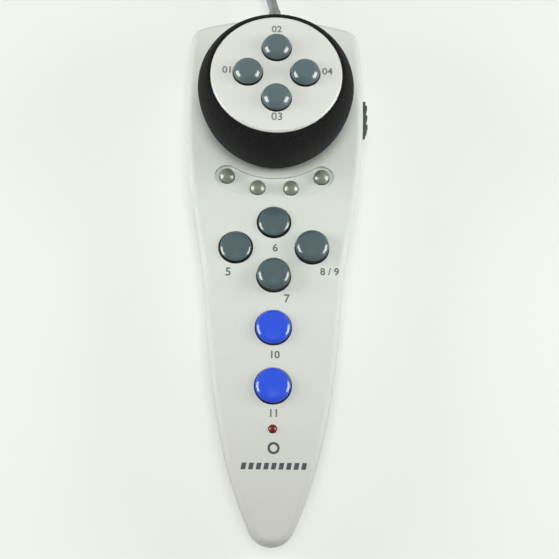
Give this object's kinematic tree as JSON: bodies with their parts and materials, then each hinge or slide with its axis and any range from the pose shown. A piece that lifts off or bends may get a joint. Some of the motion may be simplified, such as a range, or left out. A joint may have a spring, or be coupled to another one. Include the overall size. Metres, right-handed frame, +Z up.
{
  "type": "wired one-handed racing game controller",
  "caption": "Long tapering handheld controller with a foam-rimmed steering wheel on top, sprung buttons down its handle, a side switch and a coiled cord.",
  "frame": {"origin": "on the table under the middle of the case, with the keel resting on the table", "axes": "+Y from the handle's tip to the wheel end, +Z up through the wheel's face, +X to the right of the player who looks along +Y"},
  "size_m": [0.0824, 0.4327, 0.0631],
  "materials": {
    "case_top": "satin pale grey",
    "case_bottom": "satin pale grey",
    "screw": "zinc plated",
    "bush": "natural white",
    "board": "green solder mask",
    "component": "moulded black",
    "contact_rubber": "soft grey",
    "lamp": "clear dark red",
    "sensor": "moulded dark blue",
    "spindle": "turned",
    "gear": "natural white",
    "spring": "drawn wire",
    "clip": "oiled spring steel",
    "hub": "moulded black",
    "tyre": "fine black foam",
    "face": "satin silver grey",
    "face_button": "glossy slate",
    "arc_button": "satin grey green",
    "main_button": "glossy dark slate",
    "blue_button": "glossy blue",
    "knob": "moulded black",
    "relief": "moulded dark grey",
    "cord": "matt dark grey sheath",
    "tie": "coated flat tie",
    "plug": "moulded dark grey",
    "contact": "plated"
  },
  "bodies": {
    "housing": {"top_case": "case_top", "bottom_case": "case_bottom", "case_screws": "screw", "board_screws": "screw", "steering_bush": "bush", "main_board": "board", "board_components": "component", "button_sheet": "contact_rubber", "status_lamp": "lamp", "angle_sensor": "sensor", "centring_spring": "spring", "switch_body": "component", "strain_relief": "relief", "cord": "cord", "cord_hank": "cord", "cord_tie": "tie", "plug": "plug", "plug_contacts_row": "contact"},
    "wheel": {"wheel_hub": "hub", "wheel_tyre": "tyre", "face_plate": "face", "face_screws": "screw", "face_board": "board", "face_sheet": "contact_rubber", "wheel_lead": "cord", "sector_gear": "gear", "retaining_clip": "clip"},
    "sensor_rotor": {"sensor_spindle": "spindle", "pinion": "gear"},
    "switch_knob": {"switch_knob": "knob"},
    "arc_button_1": {"arc_button_1": "arc_button"},
    "arc_button_2": {"arc_button_2": "arc_button"},
    "arc_button_3": {"arc_button_3": "arc_button"},
    "arc_button_4": {"arc_button_4": "arc_button"},
    "main_button_far": {"main_button_far": "main_button"},
    "main_button_left": {"main_button_left": "main_button"},
    "main_button_right": {"main_button_right": "main_button"},
    "main_button_near": {"main_button_near": "main_button"},
    "start_button": {"start_button": "blue_button"},
    "set_button": {"set_button": "blue_button"},
    "face_button_near": {"face_button_near": "face_button"},
    "face_button_right": {"face_button_right": "face_button"},
    "face_button_far": {"face_button_far": "face_button"},
    "face_button_left": {"face_button_left": "face_button"}
  },
  "joints": [
    {"name": "wheel_turn", "type": "hinge", "parent": "housing", "child": "wheel", "pos_m": [0, 0.0625, 0.04], "axis": [0, 0, 1], "range_deg": [-60, 60], "stiffness_Nm_per_rad": 0.05, "deforming": ["centring_spring"]},
    {"name": "sensor_turn", "type": "hinge", "parent": "housing", "child": "sensor_rotor", "pos_m": [0, 0.0325, 0.008], "axis": [0, 0, 1], "range_deg": [-120, 120]},
    {"name": "switch_slide", "type": "slide", "parent": "housing", "child": "switch_knob", "axis": [0, 1, 0], "range_m": [-0.002, 0.002]},
    {"name": "arc_button_1_press", "type": "slide", "parent": "housing", "child": "arc_button_1", "axis": [0, 0, -1], "range_m": [0, 0.0012], "stiffness_N_per_m": 400, "springref_m": -0.001},
    {"name": "arc_button_2_press", "type": "slide", "parent": "housing", "child": "arc_button_2", "axis": [0, 0, -1], "range_m": [0, 0.0012], "stiffness_N_per_m": 400, "springref_m": -0.001},
    {"name": "arc_button_3_press", "type": "slide", "parent": "housing", "child": "arc_button_3", "axis": [0, 0, -1], "range_m": [0, 0.0012], "stiffness_N_per_m": 400, "springref_m": -0.001},
    {"name": "arc_button_4_press", "type": "slide", "parent": "housing", "child": "arc_button_4", "axis": [0, 0, -1], "range_m": [0, 0.0012], "stiffness_N_per_m": 400, "springref_m": -0.001},
    {"name": "main_button_far_press", "type": "slide", "parent": "housing", "child": "main_button_far", "axis": [0, 0, -1], "range_m": [0, 0.0012], "stiffness_N_per_m": 400, "springref_m": -0.001},
    {"name": "main_button_left_press", "type": "slide", "parent": "housing", "child": "main_button_left", "axis": [0, 0, -1], "range_m": [0, 0.0012], "stiffness_N_per_m": 400, "springref_m": -0.001},
    {"name": "main_button_right_press", "type": "slide", "parent": "housing", "child": "main_button_right", "axis": [0, 0, -1], "range_m": [0, 0.0035], "stiffness_N_per_m": 400, "springref_m": -0.001},
    {"name": "main_button_near_press", "type": "slide", "parent": "housing", "child": "main_button_near", "axis": [0, 0, -1], "range_m": [0, 0.0035], "stiffness_N_per_m": 400, "springref_m": -0.001},
    {"name": "start_button_press", "type": "slide", "parent": "housing", "child": "start_button", "axis": [0, 0, -1], "range_m": [0, 0.0015], "stiffness_N_per_m": 400, "springref_m": -0.001},
    {"name": "set_button_press", "type": "slide", "parent": "housing", "child": "set_button", "axis": [0, 0, -1], "range_m": [0, 0.0015], "stiffness_N_per_m": 400, "springref_m": -0.001},
    {"name": "face_button_near_press", "type": "slide", "parent": "wheel", "child": "face_button_near", "axis": [0, 0, -1], "range_m": [0, 0.0015], "stiffness_N_per_m": 400, "springref_m": -0.001},
    {"name": "face_button_right_press", "type": "slide", "parent": "wheel", "child": "face_button_right", "axis": [0, 0, -1], "range_m": [0, 0.0015], "stiffness_N_per_m": 400, "springref_m": -0.001},
    {"name": "face_button_far_press", "type": "slide", "parent": "wheel", "child": "face_button_far", "axis": [0, 0, -1], "range_m": [0, 0.0015], "stiffness_N_per_m": 400, "springref_m": -0.001},
    {"name": "face_button_left_press", "type": "slide", "parent": "wheel", "child": "face_button_left", "axis": [0, 0, -1], "range_m": [0, 0.0015], "stiffness_N_per_m": 400, "springref_m": -0.001}
  ],
  "couplings": [
    {"joint": "sensor_turn", "follows": "wheel_turn", "ratio": -2}
  ]
}
